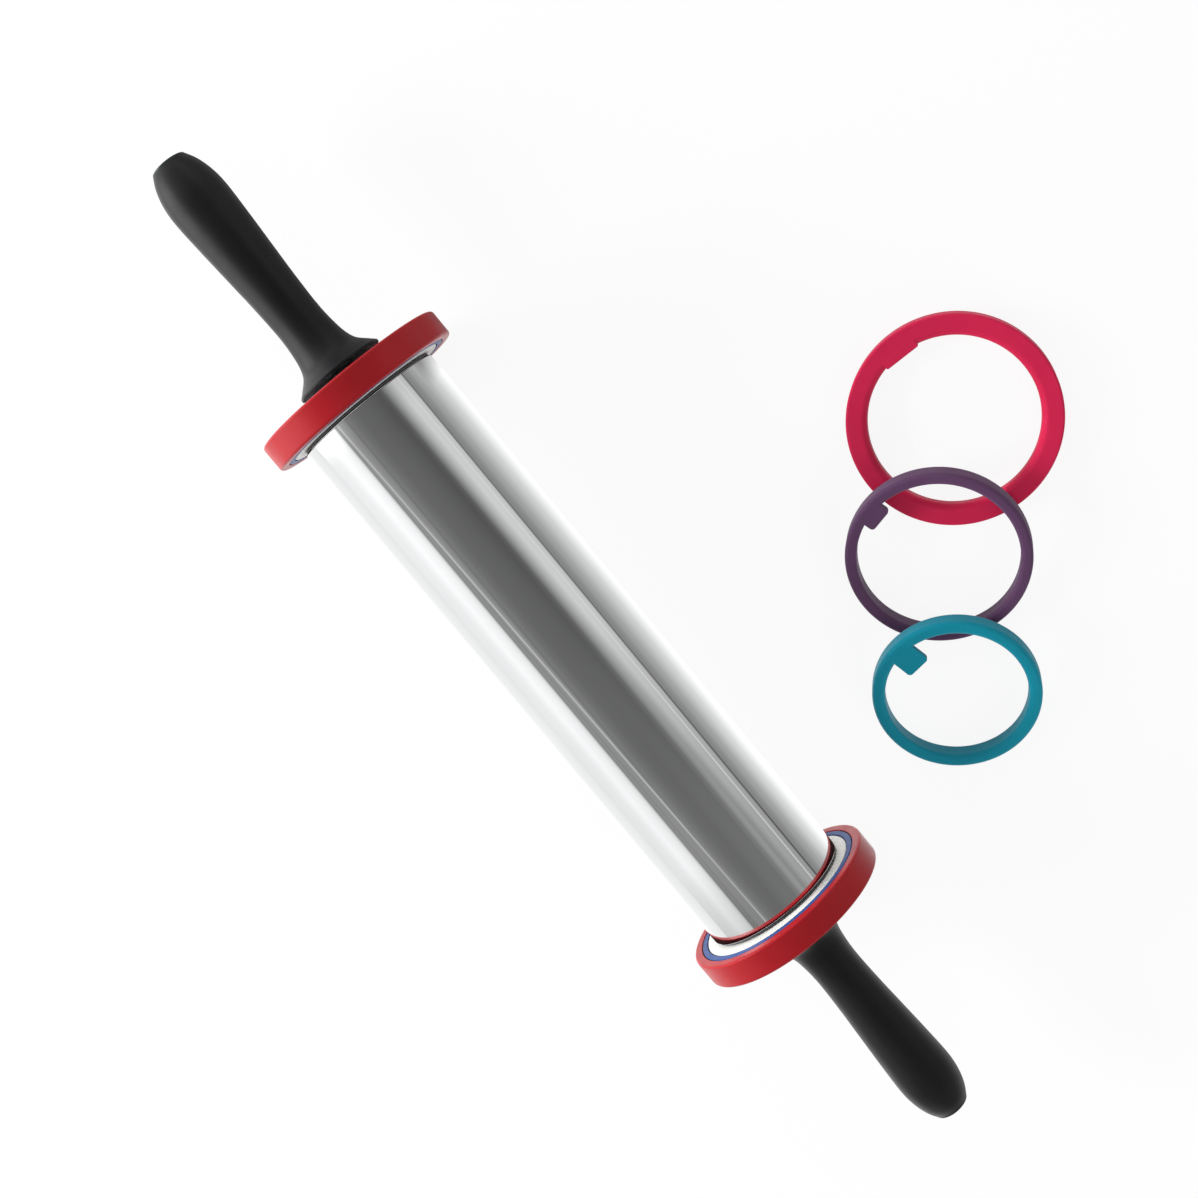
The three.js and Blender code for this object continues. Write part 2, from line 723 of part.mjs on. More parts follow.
// All that one end of the pin holds, along its own +Z
function pinEnd(side) {
  const spacerInner = bearingOuter + SEAT_GAP;
  const spacerOuter = handleBase - SEAT_GAP;
  const spacer = sleeve(boreRadius, spacerRadius, spacerInner, spacerOuter, SHAFT_FACETS);
  const washerOuter = washerInner + WASHER_THICKNESS;
  const washer = sleeve(studRadius + SEAT_GAP, washerRadius, washerInner, washerOuter, SHAFT_FACETS);
  const end = new THREE.Group();
  end.add(
    piece(side + "_end_hub", endHub(), plastic(0x34353a, 0.5)),
    piece(side + "_bearing_outer_ring", bearingOuterRing(), brightSteel),
    piece(side + "_bearing_cover", bearingCover(), blackPlastic),
    ...pinRings(side),
    ...bearingBalls(side),
    piece(side + "_ball_cage", ballCage(), cagePlastic),
    piece(side + "_bearing_inner_ring", bearingInnerRing(), brightSteel),
    piece(side + "_axle_clip", axleClip(), brightSteel),
    piece(side + "_spacer_sleeve", spacer, brightSteel),
    piece(side + "_handle_core", handleCore(), blackPlastic),
    piece(side + "_handle_grip", handleGrip(), softBlack),
    piece(side + "_handle_washer", washer, brightSteel),
    piece(side + "_handle_nut", hexNut(), brightSteel),
    piece(side + "_end_plug", endPlug(), plugGreen),
  );
  return end;
}

const pin = new THREE.Group();
const rightEnd = pinEnd("right");
rightEnd.rotation.y = Math.PI / 2;
const leftEnd = pinEnd("left");
leftEnd.rotation.y = Math.PI / 2;
const turned = new THREE.Group();
turned.rotation.z = Math.PI;
turned.add(leftEnd);
const middle = new THREE.Group();
middle.rotation.y = Math.PI / 2;
middle.add(piece("barrel_tube", barrelTube(), polishedSteel), piece("axle_rod", axleRod(), brightSteel));
pin.add(middle, rightEnd, turned);
pin.position.z = redRadius * Math.cos(Math.PI / RING_FACETS); // the red rings stand on a facet

// How far a loose ring tips up to clear the upper face of the ring that carries it
function leanAngle(sizes, carrier, uphill, distance) {
  const { outer, bore, edge, along, across } = sizes;
  const wall = (outer + bore) / 2;
  const clearance = SEAT_GAP + edge * EDGE_SINK_SHARE;
  const forward = (distance ** 2 + wall ** 2 - carrier.outer ** 2) / (2 * distance);
  const sideways = Math.sqrt(wall ** 2 - forward ** 2);
  const angles = [-sideways, sideways].map((side) => {
    const x = along + forward * uphill.x - side * uphill.y;
    const y = across + forward * uphill.y + side * uphill.x;
    const { normal, constant } = carrier.upperFace;
    const height = -(normal.x * x + normal.y * y + constant) / normal.z;
    return Math.atan((height + clearance) / (outer + forward));
  });
  return Math.max(...angles);
}

// A loose ring flat on the table, or with one side raised onto the ring laid before it
function looseRing(sizes, carrier) {
  const { name, along, across, color } = sizes;
  const geometry = toGeometry(ringSolid({ ...sizes, width: LOOSE_RING_WIDTH }));
  const lean = new THREE.Matrix4();
  if (carrier) {
    const uphill = new THREE.Vector3(carrier.along - along, carrier.across - across, 0);
    const distance = uphill.length();
    uphill.normalize();
    const hinge = new THREE.Vector3(uphill.y, -uphill.x, 0);
    lean.makeRotationAxis(hinge, leanAngle(sizes, carrier, uphill, distance));
  }
  geometry.applyMatrix4(lean);
  geometry.computeBoundingBox();
  const ring = piece(name, geometry, plastic(color, 0.35));
  ring.position.set(along, across, -geometry.boundingBox.min.z);
  const upward = new THREE.Vector3(0, 0, 1).transformDirection(lean);
  const upperCentre = upward.clone().multiplyScalar(LOOSE_RING_WIDTH).add(ring.position);
  const upperFace = new THREE.Plane().setFromNormalAndCoplanarPoint(upward, upperCentre);
  return { ring, placed: { ...sizes, upperFace } };
}

const set = new THREE.Group();
set.add(pin);
let carrier = null;
for (const sizes of LOOSE_RINGS) {
  const { ring, placed } = looseRing(sizes, carrier);
  set.add(ring);
  carrier = placed;
}

// The origin is under the middle of the whole set
const box = new THREE.Box3().setFromObject(set, true);
set.position.x = -(box.min.x + box.max.x) / 2;
set.position.y = -(box.min.y + box.max.y) / 2;

const model = new THREE.Group();
model.add(set);

export default model;
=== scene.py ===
"""An adjustable rolling pin on a pale floor, with three loose thickness rings beside it."""
import math
from collections import namedtuple

import bmesh
import bpy
from mathutils import Matrix, Vector


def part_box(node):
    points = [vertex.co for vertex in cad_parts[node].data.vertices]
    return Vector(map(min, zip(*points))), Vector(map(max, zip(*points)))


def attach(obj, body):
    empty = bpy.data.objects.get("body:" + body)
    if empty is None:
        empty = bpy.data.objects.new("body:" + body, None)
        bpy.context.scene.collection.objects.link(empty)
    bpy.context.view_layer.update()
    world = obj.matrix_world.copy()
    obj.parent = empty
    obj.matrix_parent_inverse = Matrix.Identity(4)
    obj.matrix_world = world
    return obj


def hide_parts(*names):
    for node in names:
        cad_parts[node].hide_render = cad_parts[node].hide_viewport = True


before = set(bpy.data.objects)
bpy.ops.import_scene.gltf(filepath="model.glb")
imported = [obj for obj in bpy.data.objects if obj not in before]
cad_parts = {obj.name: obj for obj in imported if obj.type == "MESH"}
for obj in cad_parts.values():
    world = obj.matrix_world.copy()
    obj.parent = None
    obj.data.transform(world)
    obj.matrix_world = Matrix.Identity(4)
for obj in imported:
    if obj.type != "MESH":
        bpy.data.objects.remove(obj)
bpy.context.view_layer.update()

MM = 0.001

# Sizes in millimetres that the smooth pieces share with the solids
GAP = 0.3
OVERRUN = 1.0
BARREL_WALL = 1.2
SEAT_DEPTH = 2.8
FLANGE_DEPTH = 0.7
FLANGE_THICKNESS = 0.6
HUB_WALL = 2.5
HUB_WEB = 3.0
HUB_RIM = 3.7
HUB_DRAFT = 0.6
BOSS_WALL = 1.4
BEARING_SHOULDER = 2.5
RIB_COUNT = 6
RIB_THICKNESS = 1.6
RIB_DEPTH = 9.0
TAB_WIDTH = 9.6
TAB_THICKNESS = 2.2
TAB_CORNER = 1.4
TAB_BEVEL = 0.25
TAB_REACH = {"cream": 7.0, "blue": 3.8, "red": 1.3}
TAB_UP = math.pi
NOTCH_CORNER = 0.7
LOOSE_WIDTH = 8.0
BALL_COUNT = 7
BEARING_HALF_WIDTH = 3.5
RACE_CLEARANCE = 0.06

# The end plugs: the share of the solid's dome that stands, the rim's inset, and its height above the grip
PLUG_DOME_SHARE = 0.3
PLUG_RIM_INSET = 0.22
PLUG_SEAT_GAP = 0.05

# Roundings in millimetres
BARREL_ROUNDING = 0.45
BARREL_BORE_ROUNDING = 0.15
SKIRT_MOUTH_ROUNDING = 0.4
SKIRT_ROUNDING = 0.5
FLANGE_ROUNDING = 0.15
DISH_ROUNDING = 0.4
DISH_FLOOR_ROUNDING = 0.7
BOSS_FOOT_ROUNDING = 0.5
BOSS_ROUNDING = 0.4
COVER_SEAT_ROUNDING = 0.2
SHOULDER_ROUNDING = 0.4
WEB_ROUNDING = 0.8
GRIP_FOOT_ROUNDING = 0.25
COVER_ROUNDING = 0.12
SPACER_ROUNDING = 0.2
CORE_ROUNDING = 0.12
RACE_ROUNDING = 0.4
RACE_SHOULDER_ROUNDING = 0.2

# Facets round a piece, by how large it is on the object
BARREL_SEGMENTS = 256
RING_SEGMENTS = 180
BODY_SEGMENTS = 144
SMALL_SEGMENTS = 72

# Steps in which roundings and curves are drawn
FILLET_STEPS = 6
HUB_FILLET_STEPS = 4
SMALL_FILLET_STEPS = 3
TAB_FILLET_STEPS = 8
BEVEL_STEPS = 3
GRIP_CURVE_STEPS = 9
PLUG_CURVE_STEPS = 8
GROOVE_STEPS = 10
BALL_SUBDIVISIONS = 3

# A solid's corners closer than this in millimetres are one station, and this close to the axis they are on it
STATION_SNAP = 0.02
AXIS_SNAP = 0.001
# Corners of a mesh closer than this in metres are one
MERGE_DISTANCE = 1e-7
SHARP_ANGLE = math.radians(32)

pin_low, pin_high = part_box("barrel_tube")
PIN = (pin_low + pin_high) / 2

Span = namedtuple("Span", "start end radius")


def span(node):
    """Where a turned solid starts and ends along the pin, and its radius at its flats, in millimetres."""
    low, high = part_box(node)
    return Span((low.x - PIN.x) / MM, (high.x - PIN.x) / MM, (high.z - PIN.z) / MM)


def corners(node):
    """The corners of a solid."""
    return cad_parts[node].data.vertices


def station(vertex):
    """A corner of a turned solid as (radius, place) on the pin's axis, in millimetres."""
    co = (vertex.co - PIN) / MM
    return math.hypot(co.y, co.z), co.x


def reach(node):
    """The radius of a turned solid at its corners, in millimetres."""
    return max(station(vertex)[0] for vertex in corners(node))


def section(node):
    """A turned solid's outline as (radius, place) points in order, from axis to axis or closed."""
    stations = []
    owner = []
    for vertex in corners(node):
        here = station(vertex)
        found = [i for i, known in enumerate(stations) if math.dist(known, here) < STATION_SNAP]
        if not found:
            stations.append(here)
        owner.append(found[0] if found else len(stations) - 1)
    near = {i: set() for i in range(len(stations))}
    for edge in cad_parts[node].data.edges:
        start = owner[edge.vertices[0]]
        end = owner[edge.vertices[1]]
        if start != end:
            near[start].add(end)
            near[end].add(start)
    ends = [i for i in near if len(near[i]) == 1]
    order = [min(ends or near, key=lambda i: (stations[i][0], stations[i][1]))]
    ahead = sorted(near[order[0]], key=lambda i: -stations[i][0])
    while ahead:
        order.append(ahead[0])
        ahead = [i for i in near[ahead[0]] if i not in order]
    return [stations[i] for i in order]


# Shapes
def fillet(points, steps=FILLET_STEPS):
    """An outline of (radius, place) or (radius, place, rounding) points with its corners rounded."""
    rounded = []
    for i, point in enumerate(points):
        here = Vector(point[:2])
        rounding = point[2] if len(point) > 2 else 0.0
        if rounding <= 0:
            rounded.append((here.x, here.y))
            continue
        before = (Vector(points[i - 1][:2]) - here).normalized()
        after = (Vector(points[(i + 1) % len(points)][:2]) - here).normalized()
        half = before.angle(after) / 2
        back = rounding / math.tan(half)
        centre = here + (before + after).normalized() * (rounding / math.sin(half))
        start = here + before * back - centre
        end = here + after * back - centre
        turn = math.atan2(start.x * end.y - start.y * end.x, start.dot(end))
        for k in range(steps + 1):
            cosine = math.cos(turn * k / steps)
            sine = math.sin(turn * k / steps)
            radius = centre.x + start.x * cosine - start.y * sine
            place = centre.y + start.x * sine + start.y * cosine
            rounded.append((radius, place))
    return rounded


def curve(points, steps):
    """A smooth curve through points that doesn't overshoot them."""
    line = [Vector(p) for p in points]
    line = [2 * line[0] - line[1]] + line + [2 * line[-1] - line[-2]]
    smooth = []
    for a, b, c, d in zip(line, line[1:], line[2:], line[3:]):
        t1 = math.sqrt((b - a).length)
        t2 = t1 + math.sqrt((c - b).length)
        t3 = t2 + math.sqrt((d - c).length)
        for k in range(steps):
            t = t1 + (t2 - t1) * k / steps
            ab = a * ((t1 - t) / t1) + b * (t / t1)
            bc = b * ((t2 - t) / (t2 - t1)) + c * ((t - t1) / (t2 - t1))
            cd = c * ((t3 - t) / (t3 - t2)) + d * ((t - t2) / (t3 - t2))
            first = ab * ((t2 - t) / t2) + bc * (t / t2)
            second = bc * ((t3 - t) / (t3 - t1)) + cd * ((t - t1) / (t3 - t1))
            point = first * ((t2 - t) / (t2 - t1)) + second * ((t - t1) / (t2 - t1))
            smooth.append((max(0.0, point.x), point.y))
    smooth.append(tuple(line[-2]))
    return smooth


def to_mesh(form, name):
    """A mesh of a bmesh, which is then let go."""
    mesh = bpy.data.meshes.new(name)
    form.to_mesh(mesh)
    form.free()
    return mesh


def revolve(outline, segments, name):
    """A mesh of a (radius, place) outline in millimetres turned round Z, closed or from axis to axis."""
    form = bmesh.new()
    rows = []
    for radius, place in outline:
        if radius < AXIS_SNAP:
            rows.append([form.verts.new((0, 0, place * MM))])
            continue
        row = []
        for k in range(segments):
            angle = 2 * math.pi * (k + 0.5) / segments
            corner = Vector((radius * math.cos(angle), radius * math.sin(angle), place))
            row.append(form.verts.new(corner * MM))
        rows.append(row)
    open_ended = len(rows[0]) == 1
    last = len(rows) - 1 if open_ended else len(rows)
    for i in range(last):
        low = rows[i]
        high = rows[(i + 1) % len(rows)]
        for k in range(segments):
            after = (k + 1) % segments
            if len(low) == 1:
                form.faces.new((low[0], high[after], high[k]))
            elif len(high) == 1:
                form.faces.new((low[k], low[after], high[0]))
            else:
                form.faces.new((low[k], low[after], high[after], high[k]))
    bmesh.ops.recalc_face_normals(form, faces=form.faces)
    return to_mesh(form, name)


def plate(inner, outer, width, thickness, top, rounding, azimuth, bevel=0.0):
    """A mesh of a flat tab between two radii, under the plane z = top, pointing along an azimuth."""
    half = width / 2
    outline = [(outer, -half), (outer, half), (inner, half, rounding), (inner, -half, rounding)]
    form = bmesh.new()
    turn = Matrix.Rotation(azimuth, 4, "Z")
    low = []
    for x, y in fillet(outline, TAB_FILLET_STEPS):
        low.append(form.verts.new(turn @ (Vector((x, y, top - thickness)) * MM)))
    face = form.faces.new(low)
    grown = bmesh.ops.extrude_face_region(form, geom=[face])
    high = [v for v in grown["geom"] if isinstance(v, bmesh.types.BMVert)]
    bmesh.ops.translate(form, verts=high, vec=(0, 0, thickness * MM))
    bmesh.ops.recalc_face_normals(form, faces=form.faces)
    if bevel > 0:
        rims = [e for e in form.edges if abs(e.verts[0].co.z - e.verts[1].co.z) < MERGE_DISTANCE]
        offset = bevel * MM
        bmesh.ops.bevel(form, geom=rims, offset=offset, segments=BEVEL_STEPS, profile=0.5, affect="EDGES")
    return to_mesh(form, "plate")


def block(size, middle, azimuth):
    """A mesh of a box of a size round a middle, turned about Z, all in millimetres."""
    form = bmesh.new()
    bmesh.ops.create_cube(form, size=MM)
    bmesh.ops.scale(form, verts=form.verts, vec=size)
    bmesh.ops.translate(form, verts=form.verts, vec=Vector(middle) * MM)
    bmesh.ops.rotate(form, verts=form.verts, matrix=Matrix.Rotation(azimuth, 3, "Z"))
    return to_mesh(form, "block")


def combine(mesh, other, operation):
    """The mesh joined with, or cut by, another mesh."""
    base = bpy.data.objects.new("boolean_base", mesh)
    tool = bpy.data.objects.new("boolean_tool", other)
    bpy.context.collection.objects.link(base)
    bpy.context.collection.objects.link(tool)
    cut = base.modifiers.new("cut", "BOOLEAN")
    cut.object = tool
    cut.operation = operation
    cut.solver = "EXACT"
    depsgraph = bpy.context.evaluated_depsgraph_get()
    result = bpy.data.meshes.new_from_object(base.evaluated_get(depsgraph))
    bpy.data.objects.remove(base)
    bpy.data.objects.remove(tool)
    return result


def shade(mesh):
    """Smooth shading with sharp edges where the surface turns by more than an angle."""
    form = bmesh.new()
    form.from_mesh(mesh)
    bmesh.ops.remove_doubles(form, verts=form.verts, dist=MERGE_DISTANCE)
    for face in form.faces:
        face.smooth = True
    for edge in form.edges:
        edge.smooth = len(edge.link_faces) == 2 and edge.calc_face_angle(0.0) < SHARP_ANGLE
    form.to_mesh(mesh)
    form.free()


def piece(name, mesh, matrix, body, finish, *nodes):
    """Adds a finished mesh as a piece of the object, in place of its solids."""
    mesh.transform(matrix)
    shade(mesh)
    mesh.name = name
    mesh.materials.clear()
    mesh.materials.append(FINISHES[finish])
    obj = bpy.data.objects.new(name, mesh)
    bpy.context.collection.objects.link(obj)
    weighted = obj.modifiers.new("weighted", "WEIGHTED_NORMAL")
    weighted.keep_sharp = True
    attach(obj, body)
    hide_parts(*nodes)
    return obj


# Materials

# The part of a noise's range over which a tone or a gloss is spread
NOISE_LOW = 0.3
NOISE_HIGH = 0.7

# Plastic: noise scales per metre, the spread of its roughness, and how strong its grain is
PLASTIC_TONE_SCALE = 60
PLASTIC_GLOSS_SCALE = 140
PLASTIC_GLOSS_DETAIL = 6.0
PLASTIC_GLOSS_SPREAD = 0.05
PLASTIC_GRAIN_DETAIL = 2.0
PLASTIC_GRAIN_STRENGTH = 0.25
PLASTIC_COAT_ROUGHNESS = 0.15

# Steel: noise scales per metre, its darker tone's share, its roughness shares, and how strong its marks are
METAL_MARK_SCALE = 700
METAL_MARK_DETAIL = 3.0
METAL_CLOUD_SCALE = 25
METAL_DARK_SHARE = 0.97
METAL_SMOOTH_SHARE = 0.8
METAL_ROUGH_SHARE = 1.2
METAL_MARK_STRENGTH = 0.15


def new_material(name):
    """A material with its nodes, links and surface shader."""
    material = bpy.data.materials.new(name)
    material.use_nodes = True
    nodes = material.node_tree.nodes
    return material, nodes, material.node_tree.links, nodes["Principled BSDF"]


def noise(nodes, links, coords, scale, detail=4.0):
    """A noise's value at coordinates."""
    texture = nodes.new("ShaderNodeTexNoise")
    texture.inputs["Scale"].default_value = scale
    texture.inputs["Detail"].default_value = detail
    links.new(coords, texture.inputs["Vector"])
    return texture.outputs["Fac"]


def stretched(nodes, links, coords, scale):
    """Coordinates multiplied by a scale for each axis."""
    mapping = nodes.new("ShaderNodeMapping")
    mapping.inputs["Scale"].default_value = scale
    links.new(coords, mapping.inputs["Vector"])
    return mapping.outputs["Vector"]


def ranged(nodes, links, value, low, high):
    """A number between two, by a noise."""
    spread = nodes.new("ShaderNodeMapRange")
    spread.inputs["From Min"].default_value = NOISE_LOW
    spread.inputs["From Max"].default_value = NOISE_HIGH
    spread.inputs["To Min"].default_value = low
    spread.inputs["To Max"].default_value = high
    links.new(value, spread.inputs["Value"])
    return spread.outputs["Result"]


def mixed(nodes, links, value, low, high):
    """A colour between two, by a noise."""
    ramp = nodes.new("ShaderNodeValToRGB")
    ramp.color_ramp.elements[0].position = NOISE_LOW
    ramp.color_ramp.elements[0].color = (*low, 1)
    ramp.color_ramp.elements[1].position = NOISE_HIGH
    ramp.color_ramp.elements[1].color = (*high, 1)
    links.new(value, ramp.inputs["Fac"])
    return ramp.outputs["Color"]


def bumped(nodes, links, shader, value, distance, strength):
    """Gives a shader a relief that follows a value."""
    bump = nodes.new("ShaderNodeBump")
    bump.inputs["Distance"].default_value = distance
    bump.inputs["Strength"].default_value = strength
    links.new(value, bump.inputs["Height"])
    links.new(bump.outputs["Normal"], shader.inputs["Normal"])


def plastic(look):
    """Moulded plastic: a slight change of tone and gloss over a fine moulded grain."""
    material, nodes, links, shader = new_material(look.name)
    coords = nodes.new("ShaderNodeTexCoord").outputs["Object"]
    dark = tuple(c * (1 - look.tint) for c in look.color)
    light = tuple(min(1.0, c * (1 + look.tint)) for c in look.color)
    cloud = noise(nodes, links, coords, PLASTIC_TONE_SCALE)
    links.new(mixed(nodes, links, cloud, dark, light), shader.inputs["Base Color"])
    patch = noise(nodes, links, coords, PLASTIC_GLOSS_SCALE, PLASTIC_GLOSS_DETAIL)
    smooth = look.roughness - PLASTIC_GLOSS_SPREAD
    rough = look.roughness + PLASTIC_GLOSS_SPREAD
    links.new(ranged(nodes, links, patch, smooth, rough), shader.inputs["Roughness"])
    grain = noise(nodes, links, coords, look.grain, PLASTIC_GRAIN_DETAIL)
    bumped(nodes, links, shader, grain, look.depth, PLASTIC_GRAIN_STRENGTH)
    shader.inputs["Specular IOR Level"].default_value = look.specular
    shader.inputs["Coat Weight"].default_value = look.coat
    shader.inputs["Coat Roughness"].default_value = PLASTIC_COAT_ROUGHNESS
    return material


def metal(look):
    """Steel: fine marks drawn out round the axis, and a slight change of gloss."""
    material, nodes, links, shader = new_material(look.name)
    shader.inputs["Metallic"].default_value = 1.0
    coords = nodes.new("ShaderNodeTexCoord").outputs["Object"]
    drawn = stretched(nodes, links, coords, look.stretch)
    marks = noise(nodes, links, drawn, METAL_MARK_SCALE, METAL_MARK_DETAIL)
    cloud = noise(nodes, links, coords, METAL_CLOUD_SCALE)
    dark = tuple(c * METAL_DARK_SHARE for c in look.color)
    links.new(mixed(nodes, links, cloud, dark, look.color), shader.inputs["Base Color"])
    smooth = look.roughness * METAL_SMOOTH_SHARE
    rough = look.roughness * METAL_ROUGH_SHARE
    links.new(ranged(nodes, links, cloud, smooth, rough), shader.inputs["Roughness"])
    bumped(nodes, links, shader, marks, look.depth, METAL_MARK_STRENGTH)
    return material


# Looks: colours are linear, and depths of marks and grain are in metres
Metal = namedtuple("Metal", "name color roughness stretch depth")
METALS = (
    Metal("polished_steel", (0.795, 0.80, 0.805), roughness=0.05, stretch=(6, 0.4, 0.4), depth=0.0000008),
    Metal("axle_steel", (0.62, 0.62, 0.61), roughness=0.28, stretch=(6, 0.3, 0.3), depth=0.00001),
    Metal("bearing_steel", (0.66, 0.66, 0.65), roughness=0.2, stretch=(4, 0.5, 0.5), depth=0.000006),
)
PLASTIC_DEFAULTS = {"coat": 0.0, "specular": 0.5, "tint": 0.06, "grain": 3600, "depth": 0.00003}
Plastic = namedtuple(
    "Plastic",
    ("name", "color", "roughness", *PLASTIC_DEFAULTS),
    defaults=PLASTIC_DEFAULTS.values(),
)
PLASTICS = (
    Plastic("hub_plastic", (0.10, 0.105, 0.11), roughness=0.45),
    Plastic("core_plastic", (0.02, 0.02, 0.022), roughness=0.5),
    Plastic(
        "soft_black",
        (0.008, 0.008, 0.009),
        roughness=0.38,
        specular=0.31,
        tint=0.15,
        grain=5600,
        depth=0.00005,
    ),
    Plastic("plug_green", (0.006, 0.016, 0.014), roughness=0.3, coat=0.2),
    Plastic("cage_plastic", (0.50, 0.38, 0.18), roughness=0.55),
    Plastic("cream_plastic", (0.70, 0.695, 0.665), roughness=0.42, specular=0.3),
    Plastic("blue_plastic", (0.033, 0.07, 0.22), roughness=0.42, specular=0.2),
    Plastic("red_plastic", (0.35, 0.006, 0.011), roughness=0.34, specular=0.32),
    Plastic("crimson_plastic", (0.6, 0.014, 0.07), roughness=0.42, specular=0.2),
    Plastic("purple_plastic", (0.105, 0.047, 0.11), roughness=0.44, specular=0.2),
    Plastic("teal_plastic", (0.003, 0.25, 0.345), roughness=0.42, specular=0.2),
)
FINISHES = {look.name: metal(look) for look in METALS}
FINISHES.update((look.name, plastic(look)) for look in PLASTICS)


# The pin
barrel_span = span("barrel_tube")
ring_span = span("right_red_ring")
red_radius = ring_span.radius
blue_radius = span("right_blue_ring").radius
cream_radius = span("right_cream_ring").radius
seat_radius = barrel_span.radius - SEAT_DEPTH
cream_bore = seat_radius + GAP
blue_bore = cream_radius + GAP
red_bore = blue_radius + GAP
flat_share = red_radius / reach("right_red_ring")

# The rings on the pin, from the inside out: the depth of the tab's root in the wall, the ring whose tab goes
# into this one's notch, and the roundings at the bore and at the outside
PinRing = namedtuple("PinRing", "name bore radius root_depth carried bore_rounding rounding")
PIN_RINGS = (
    PinRing("cream", cream_bore, cream_radius, TAB_THICKNESS, "blue", bore_rounding=0.3, rounding=0.5),
    PinRing("blue", blue_bore, blue_radius, TAB_THICKNESS / 2, "red", bore_rounding=0.25, rounding=0.45),
    PinRing("red", red_bore, red_radius, TAB_THICKNESS, None, bore_rounding=0.35, rounding=1.0),
)
BORES = {sizes.name: sizes.bore for sizes in PIN_RINGS}


def end_matrix(side):
    """From an end's own frame, +Z outward and -X up, to the row frame."""
    sign = 1 if side == "right" else -1
    turn = Matrix(((0, 0, sign), (0, sign, 0), (-1, 0, 0))).to_4x4()
    return Matrix.Translation(PIN) @ turn


def ring(bore, outer, low, high, bore_rounding, rounding, segments=RING_SEGMENTS):
    """A ring between two places, its edges rounded at the bore and at the outside."""
    outline = [
        (bore, low, bore_rounding),
        (outer, low, rounding),
        (outer, high, rounding),
        (bore, high, bore_rounding),
    ]
    return revolve(fillet(outline), segments, "ring")


def tab(bore, inward, root, top, width=TAB_WIDTH, azimuth=TAB_UP):
    """A ring's tab, from its root in the ring's wall to its end inside the bore."""
    rounding = min(TAB_CORNER, inward / 2)
    return plate(bore - inward, root, width, TAB_THICKNESS, top, rounding, azimuth, TAB_BEVEL)


def notch(name, top):
    """The space for the tab of a ring in the piece that carries it."""
    inner = BORES[name] - TAB_REACH[name] - GAP
    outer = BORES[name] + OVERRUN
    depth = TAB_THICKNESS + GAP + OVERRUN
    return plate(inner, outer, TAB_WIDTH + 2 * GAP, depth, top + OVERRUN, NOTCH_CORNER, TAB_UP)


def barrel():
    """The barrel's tube, with its outer edges rounded."""
    bore = barrel_span.radius - BARREL_WALL
    low = barrel_span.start
    high = barrel_span.end
    mesh = ring(bore, barrel_span.radius, low, high, BARREL_BORE_ROUNDING, BARREL_ROUNDING, BARREL_SEGMENTS)
    piece("barrel_shell", mesh, end_matrix("right"), "barrel", "polished_steel", "barrel_tube")


def hub_mesh():
    """The end hub: a ribbed skirt in the barrel, the rings' seat, and a boss round the bearing."""
    hub = span("right_end_hub")
    bearing_span = span("right_bearing_outer_ring")
    bearing_radius = reach("right_bearing_outer_ring")
    pocket = bearing_radius + GAP
    shoulder = bearing_radius - BEARING_SHOULDER
    cover_seat = reach("right_bearing_cover") + GAP
    boss = cover_seat + BOSS_WALL
    plug = barrel_span.radius - BARREL_WALL - GAP
    skirt = plug - HUB_WALL
    flange = barrel_span.radius - FLANGE_DEPTH
    flange_end = ring_span.start - GAP
    flange_start = flange_end - FLANGE_THICKNESS
    web_end = bearing_span.start - GAP
    web_start = web_end - HUB_WEB
    dish = seat_radius - HUB_RIM
    dish_floor = hub.end - TAB_THICKNESS - GAP
    outline = [
        (skirt, hub.start, SKIRT_MOUTH_ROUNDING),
        (plug, hub.start, SKIRT_ROUNDING),
        (plug, flange_start),
        (flange, flange_start, FLANGE_ROUNDING),
        (flange, flange_end, FLANGE_ROUNDING),
        (seat_radius, flange_end),
        (seat_radius, hub.end, HUB_DRAFT),
        (dish, hub.end, DISH_ROUNDING),
        (dish - HUB_DRAFT, dish_floor, DISH_FLOOR_ROUNDING),
        (boss, dish_floor, BOSS_FOOT_ROUNDING),
        (boss, hub.end, BOSS_ROUNDING),
        (cover_seat, hub.end, COVER_SEAT_ROUNDING),
        (cover_seat, bearing_span.end),
        (pocket, bearing_span.end),
        (pocket, web_end),
        (shoulder, web_end),
        (shoulder, web_start, SHOULDER_ROUNDING),
        (skirt, web_start, WEB_ROUNDING),
    ]
    mesh = revolve(fillet(outline, HUB_FILLET_STEPS), BODY_SEGMENTS, "hub")
    inner = shoulder + HUB_WALL
    length = skirt + HUB_WALL / 2 - inner
    depth = RIB_DEPTH + HUB_WEB / 2
    middle = (inner + length / 2, 0, web_start + HUB_WEB / 2 - depth / 2)
    for i in range(RIB_COUNT):
        azimuth = 2 * math.pi * (i + 0.5) / RIB_COUNT
        mesh = combine(mesh, block((length, RIB_THICKNESS, depth), middle, azimuth), "UNION")
    return combine(mesh, notch("cream", hub.end), "DIFFERENCE")


def grip_mesh():
    """The soft grip: its outside smoothed from lip to end, its inside as the solid has it."""
    outline = section("right_handle_grip")
    lip = max(range(len(outline)), key=lambda i: (round(outline[i][0], 1), outline[i][1]))
    end = max(range(len(outline)), key=lambda i: (round(outline[i][1], 1), outline[i][0]))
    if end < lip:
        outline.reverse()
        lip = len(outline) - 1 - lip
        end = len(outline) - 1 - end
    foot = [(*point, GRIP_FOOT_ROUNDING) for point in outline[:lip]]
    smooth = foot + curve(outline[lip : end + 1], GRIP_CURVE_STEPS) + outline[end + 1 :]
    return revolve(fillet(smooth), BODY_SEGMENTS, "grip")


